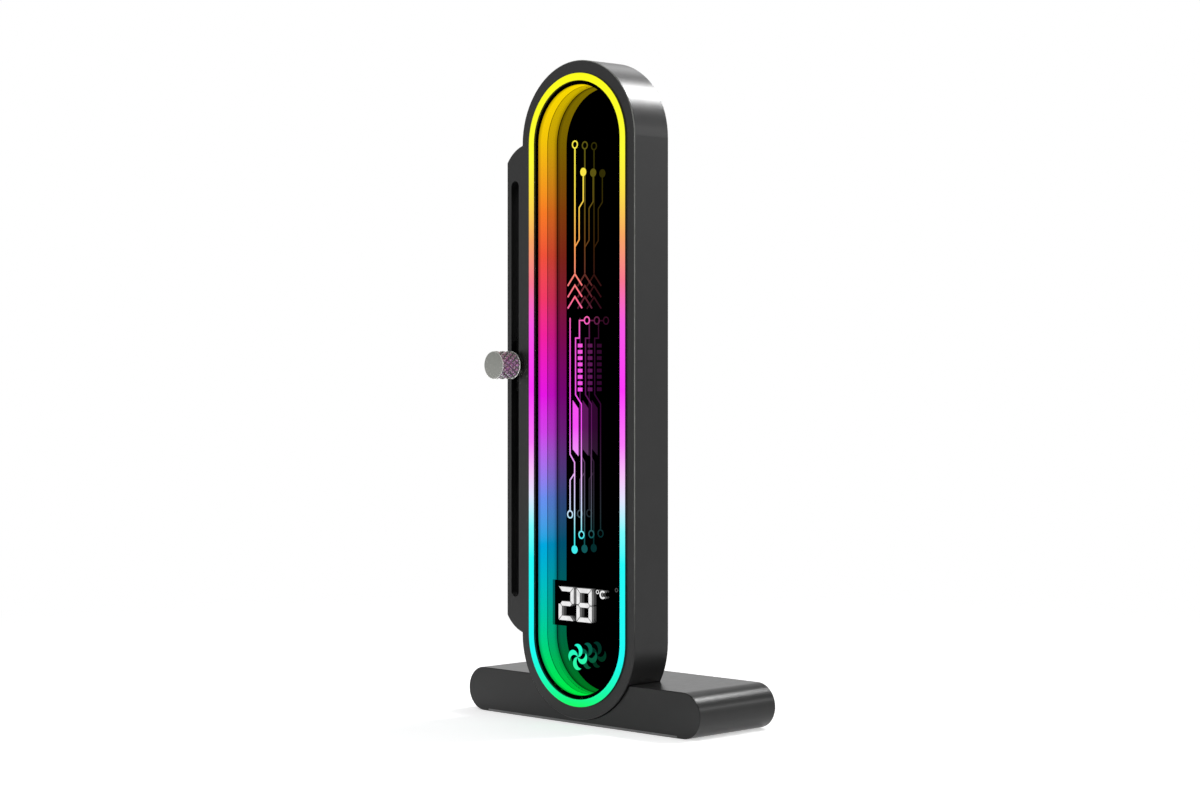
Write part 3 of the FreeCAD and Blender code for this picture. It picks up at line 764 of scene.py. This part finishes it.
def thumbscrew():
    """Knurled knob, neck and threaded shank."""
    low, high = span("thumbscrew")
    centre = ((low.x + high.x) / 2, (low.z + high.z) / 2)
    back = low.y + knob_length
    grip_low, grip_high = low.y + grip_inset, back - grip_inset
    grip = grip_high - grip_low
    pattern = knurl((grip_low + grip_high) / 2, grip / 2)
    levels = [(low.y + depth, knob_radius - cut) for depth, cut in knob_front]
    levels += [(grip_low + grip * k / knurl_rows, pattern) for k in range(knurl_rows + 1)]
    levels += [(back - depth, knob_radius - cut) for depth, cut in knob_back]
    data = bmesh.new()
    end_face, _back_face = turned(data, centre, levels, knurl_starts * knurl_steps)
    end_face.material_index = 1
    start = back + neck_length
    neck = [(back, neck_radius), (start - neck_break, neck_radius), (start, neck_radius - neck_break)]
    for face in turned(data, centre, neck, neck_steps):
        face.material_index = 2

    def thread(angle, y):
        rise = abs((y / thread_pitch - angle / TURN) % 1.0 - 0.5) * 2
        taper = min(1.0, (high.y - y) / thread_taper)
        return (shank_radius - thread_depth * rise) * (thread_at_end + (1 - thread_at_end) * taper)

    shank = high.y - start
    rows = int(shank / thread_pitch * thread_steps)
    turned(data, centre, [(start + shank * k / rows, thread) for k in range(rows + 1)], shank_steps)
    for face in data.faces:
        if face.calc_center_median().y > back * MM:
            face.material_index = 2
    looks = [knob_grip, knob_face, turned_steel]
    finish_piece("knurled_thumbscrew", data, 28, looks, "knob", ["thumbscrew"])


# Arm pad
def pad_row(data, low, high, inset, z):
    """Vertices round the pad's rounded outline, inset on all sides."""
    left, right = low.x + pad_corner, high.x - pad_corner
    near, far = low.y + pad_corner, high.y - pad_corner
    row = []
    for quarter, centre in enumerate(((right, far), (left, far), (left, near), (right, near))):
        for k in range(pad_corner_steps + 1):
            angle = (quarter + k / pad_corner_steps) * TURN / 4
            x, y = on_circle(centre, pad_corner - inset, angle)
            row.append(data.verts.new(place(x, y, z)))
    return row


def rib(data, x, start, end, floor):
    """A low round-topped rib along Y with lowered ends."""
    rows = []
    for k in range(rib_steps + 1):
        y = start + (end - start) * k / rib_steps
        from_middle = max(0.0, 1 - min(y - start, end - y) / rib_radius)
        swell = rib_at_end + (1 - rib_at_end) * math.sqrt(max(0.0, 1 - from_middle ** 2))
        row = []
        for j in range(rib_steps + 1):
            angle = math.pi * j / rib_steps
            side = rib_radius * swell * math.cos(angle)
            rise = rib_tall * swell * math.sin(angle)
            row.append(data.verts.new(place(x + side, y, floor + rise)))
        rows.append(row)
    bridge(data, rows)
    cap(data, rows)


def arm_pad():
    """Soft pad with round corners, a soft rim and low ribs that grip what lies on it."""
    low, high = span("arm_pad")
    floor = high.z - rib_tall
    data = bmesh.new()
    levels = ((0.0, low.z), (0.0, floor - pad_soft))
    levels += ((pad_soft_middle, floor - pad_soft_middle), (pad_soft, floor))
    rows = [pad_row(data, low, high, inset, z) for inset, z in levels]
    bridge(data, rows)
    cap(data, rows)
    pitch = (high.x - low.x - 2 * rib_inset - 2 * rib_radius) / (rib_count - 1)
    for k in range(rib_count):
        x = low.x + rib_inset + rib_radius + pitch * k
        into_corner = max(0.0, pad_corner - min(x - low.x, high.x - x))
        reach = pad_corner - math.sqrt(pad_corner ** 2 - into_corner ** 2) + rib_inset
        rib(data, x, low.y + reach, high.y - reach, floor)
    finish_piece("ribbed_arm_pad", data, 40, [pad_rubber], "arm", ["arm_pad"])


# Cover screws
def cover_screws():
    """Flat-headed screws with lobed key holes, in the rear cover."""
    low, high = span("cover_screws")
    face = high.y
    tip = face - screw_length

    def key(angle, _y):
        return key_radius + key_wave * math.cos(key_lobes * angle)

    levels = [(tip, screw_shank_radius * screw_tip_share), (tip + screw_tip_length, screw_shank_radius)]
    levels += [(face - screw_head_tall, screw_shank_radius)]
    levels += [(face - depth, screw_head_radius - cut) for depth, cut in screw_rim]
    levels += [(face, key), (face - key_depth, key)]
    data = bmesh.new()
    for x in (low.x + screw_head_radius, high.x - screw_head_radius):
        for z in (low.z + screw_head_radius, high.z - screw_head_radius):
            turned(data, (x, z), levels, screw_steps)
    finish_piece("cover_key_screws", data, 30, [black_steel], "stand", ["cover_screws"])


# Camera, floor and light
def look_at(thing, target):
    way = Vector(target) - thing.location
    thing.rotation_euler = way.to_track_quat("-Z", "Y").to_euler()


def add_camera():
    data = bpy.data.cameras.new("camera")
    data.lens = camera_lens
    data.shift_y = camera_drop
    data.clip_start = camera_near
    data.clip_end = camera_far
    made = bpy.data.objects.new("camera", data)
    made.location = camera_place
    bpy.context.scene.collection.objects.link(made)
    look_at(made, camera_target)
    bpy.context.scene.camera = made


def floor_look():
    """Pale paint that keeps the object's soft shadow, and white light further out."""
    s = Shader("floor_pale")
    paint = s.body(s.shades(s.noise(6.0), *floor_greys), 0.9, 0.0)
    seen = s.math("MAXIMUM", s.ray("Is Camera Ray"), s.ray("Is Glossy Ray"))
    seen = s.math("MAXIMUM", seen, s.ray("Is Transmission Ray"))
    lift = s.first("Emission", Color=1.0, Strength=s.math("MULTIPLY", seen, floor_lift))
    near = s.fill(s.node("AddShader"), (paint, lift))
    white = s.first("Emission", Color=1.0, Strength=1.0)
    away = s.spread(s.vector("LENGTH", s.place(), output="Value"), 0.0, 1.0, *floor_fade, smooth=True)
    return s.done(s.mix(s.math("MULTIPLY", away, seen), near, white))


def add_floor():
    data = bmesh.new()
    bmesh.ops.create_circle(data, cap_ends=True, segments=96, radius=floor_radius)
    mesh = bpy.data.meshes.new("floor")
    data.to_mesh(mesh)
    data.free()
    mesh.materials.append(floor_look())
    floor = bpy.data.objects.new("floor", mesh)
    bpy.context.scene.collection.objects.link(floor)


def add_world():
    """White backdrop all round, and even soft light under a ceiling that gloss sees as grey."""
    s = Shader("studio", world=True)
    seen = s.math("MAXIMUM", s.ray("Is Camera Ray"), s.ray("Is Transmission Ray"))
    gloss = s.ray("Is Glossy Ray")
    up = s.part(s.node("TexCoord").outputs["Generated"], "Z")
    overhead = s.spread(up, 1.0, ceiling_grey, *ceiling_rise, smooth=True)
    shown = s.math("MAXIMUM", seen, s.math("MULTIPLY", gloss, overhead))
    unseen = s.math("SUBTRACT", 1.0, s.math("MAXIMUM", seen, gloss))
    strength = s.math("ADD", shown, s.math("MULTIPLY", unseen, ambient))
    bpy.context.scene.world = s.done(s.first("Background", Color=1.0, Strength=strength))


def add_lamp(name, target, way, far, size, power, beam):
    data = bpy.data.lights.new(name, "AREA")
    data.shape = "RECTANGLE"
    data.size, data.size_y = size
    data.energy = power
    data.spread = beam
    made = bpy.data.objects.new(name, data)
    made.location = Vector(target) + Vector(way).normalized() * far
    bpy.context.scene.collection.objects.link(made)
    look_at(made, target)


add_camera()
add_floor()
add_world()
for lamp in LAMPS:
    add_lamp(*lamp)
lens()
display()
thumbscrew()
arm_pad()
cover_screws()

bpy.context.scene.view_settings.view_transform = "Standard"
